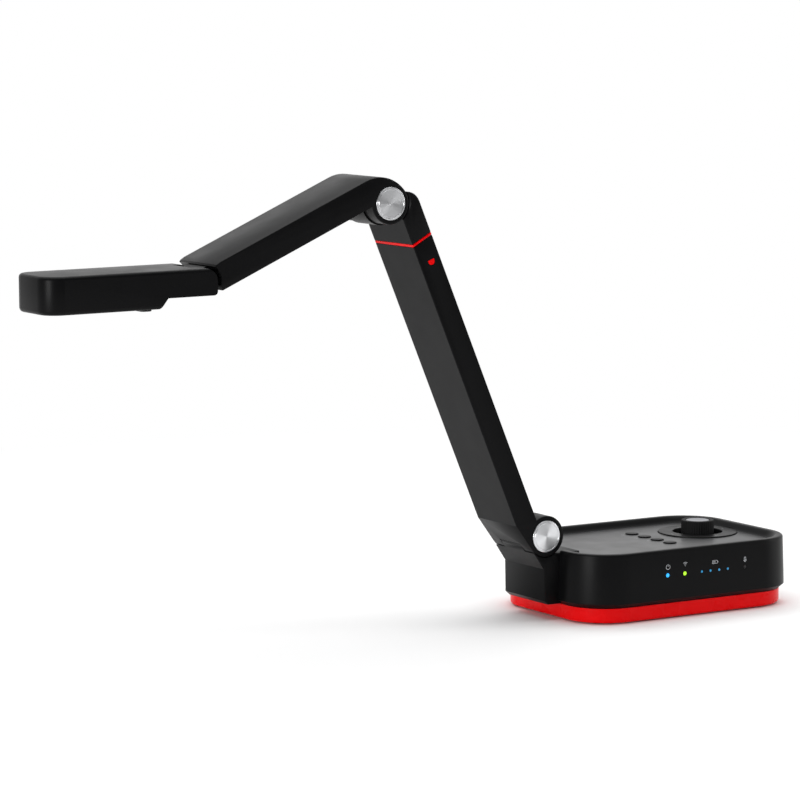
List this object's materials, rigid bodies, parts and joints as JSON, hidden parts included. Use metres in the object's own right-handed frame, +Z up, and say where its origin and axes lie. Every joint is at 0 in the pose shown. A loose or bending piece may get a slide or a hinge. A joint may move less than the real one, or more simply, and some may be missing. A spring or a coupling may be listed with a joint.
{
  "type": "document camera",
  "caption": "Portable document camera: weighted rounded base with knob and buttons, two-piece folding arm with friction hinges, and a tilting camera head held out over the desk.",
  "frame": {"origin": "on the table plane under the middle of the base", "axes": "+X along the base away from the arm, +Y to the back, where the sockets are, +Z up; the indicator lights face -Y"},
  "size_m": [0.655, 0.147, 0.3551],
  "materials": {
    "satin_black_plastic": "satin",
    "soft_touch_black": "matte",
    "panel_film": "satin",
    "red_plastic": "gloss",
    "black_rubber": "matte",
    "plated_steel": "satin",
    "turned_aluminium": "satin",
    "grey_metal_finish": "satin",
    "circuit_board": "satin",
    "battery_wrap": "satin",
    "blue_light_pipe": "gloss",
    "green_light_pipe": "gloss",
    "coated_lens_glass": "polished",
    "lamp_diffuser": "satin"
  },
  "bodies": {
    "base": {"upper_housing": "satin_black_plastic", "control_panel": "panel_film", "red_lower_shell": "red_plastic", "ballast_plate": "plated_steel", "case_screw_1": "plated_steel", "case_screw_2": "plated_steel", "case_screw_3": "plated_steel", "case_screw_4": "plated_steel", "battery_pack": "battery_wrap", "main_board": "circuit_board", "rubber_foot_1": "black_rubber", "rubber_foot_2": "black_rubber", "rubber_foot_3": "black_rubber", "rubber_foot_4": "black_rubber", "underside_plate": "satin_black_plastic", "power_light": "blue_light_pipe", "wireless_light": "green_light_pipe", "battery_light_1": "blue_light_pipe", "battery_light_2": "blue_light_pipe", "battery_light_3": "blue_light_pipe", "battery_light_4": "blue_light_pipe", "microphone": "black_rubber", "port_plate": "satin_black_plastic", "hdmi_socket": "plated_steel", "usb_socket": "plated_steel", "power_inlet": "satin_black_plastic", "control_seat": "black_rubber", "control_board": "circuit_board", "hinge_pedestal": "satin_black_plastic", "base_hinge_shaft": "plated_steel", "base_hinge_washer": "plated_steel"},
    "lower_arm": {"lower_arm_shell": "satin_black_plastic", "lower_arm_cover": "satin_black_plastic", "lower_arm_spine": "turned_aluminium", "red_band": "red_plastic", "red_marker": "red_plastic", "elbow_piece": "satin_black_plastic", "elbow_shaft": "plated_steel", "elbow_washer": "plated_steel", "base_hinge_cap_near": "turned_aluminium", "base_hinge_cap_far": "turned_aluminium"},
    "upper_arm": {"upper_arm_shell": "satin_black_plastic", "upper_arm_cover": "satin_black_plastic", "head_hinge_shaft": "plated_steel", "elbow_cap_near": "turned_aluminium", "elbow_cap_far": "turned_aluminium"},
    "head": {"head_shell": "satin_black_plastic", "head_cover": "satin_black_plastic", "lens_barrel": "satin_black_plastic", "lens_glass": "coated_lens_glass", "lamp_window": "lamp_diffuser", "camera_board": "circuit_board", "rest_pad": "black_rubber"},
    "knob": {"shuttle_knob": "soft_touch_black"},
    "ok_key": {"ok_key": "grey_metal_finish"},
    "navigation_ring": {"navigation_ring": "satin_black_plastic"},
    "button_1": {"round_button_1": "satin_black_plastic"},
    "button_2": {"round_button_2": "satin_black_plastic"},
    "button_3": {"round_button_3": "satin_black_plastic"},
    "button_4": {"round_button_4": "satin_black_plastic"}
  },
  "joints": [
    {"name": "base_hinge", "type": "hinge", "parent": "base", "child": "lower_arm", "pos_m": [-0.1162, 0, 0.068], "axis": [0, 1, 0], "range_deg": [0, 112]},
    {"name": "elbow_hinge", "type": "hinge", "parent": "lower_arm", "child": "upper_arm", "pos_m": [-0.26017, 0, 0.33486], "axis": [0, 1, 0], "range_deg": [-88, 34]},
    {"name": "head_hinge", "type": "hinge", "parent": "upper_arm", "child": "head", "pos_m": [-0.41994, 0, 0.28286], "axis": [0, 1, 0], "range_deg": [-28, 45]},
    {"name": "knob_turn", "type": "hinge", "parent": "base", "child": "knob", "pos_m": [0.0618, 0.0119, 0.0615], "axis": [0, 0, 1], "continuous": true},
    {"name": "ok_press", "type": "slide", "parent": "knob", "child": "ok_key", "axis": [0, 0, -1], "range_m": [0, 0.0007], "stiffness_N_per_m": 600, "springref_m": -0.0007},
    {"name": "navigation_press", "type": "slide", "parent": "base", "child": "navigation_ring", "axis": [0, 0, -1], "range_m": [0, 0.0007], "stiffness_N_per_m": 900, "springref_m": -0.0007},
    {"name": "button_1_press", "type": "slide", "parent": "base", "child": "button_1", "axis": [0, 0, -1], "range_m": [0, 0.0007], "stiffness_N_per_m": 600, "springref_m": -0.0007},
    {"name": "button_2_press", "type": "slide", "parent": "base", "child": "button_2", "axis": [0, 0, -1], "range_m": [0, 0.0007], "stiffness_N_per_m": 600, "springref_m": -0.0007},
    {"name": "button_3_press", "type": "slide", "parent": "base", "child": "button_3", "axis": [0, 0, -1], "range_m": [0, 0.0007], "stiffness_N_per_m": 600, "springref_m": -0.0007},
    {"name": "button_4_press", "type": "slide", "parent": "base", "child": "button_4", "axis": [0, 0, -1], "range_m": [0, 0.0007], "stiffness_N_per_m": 600, "springref_m": -0.0007}
  ]
}
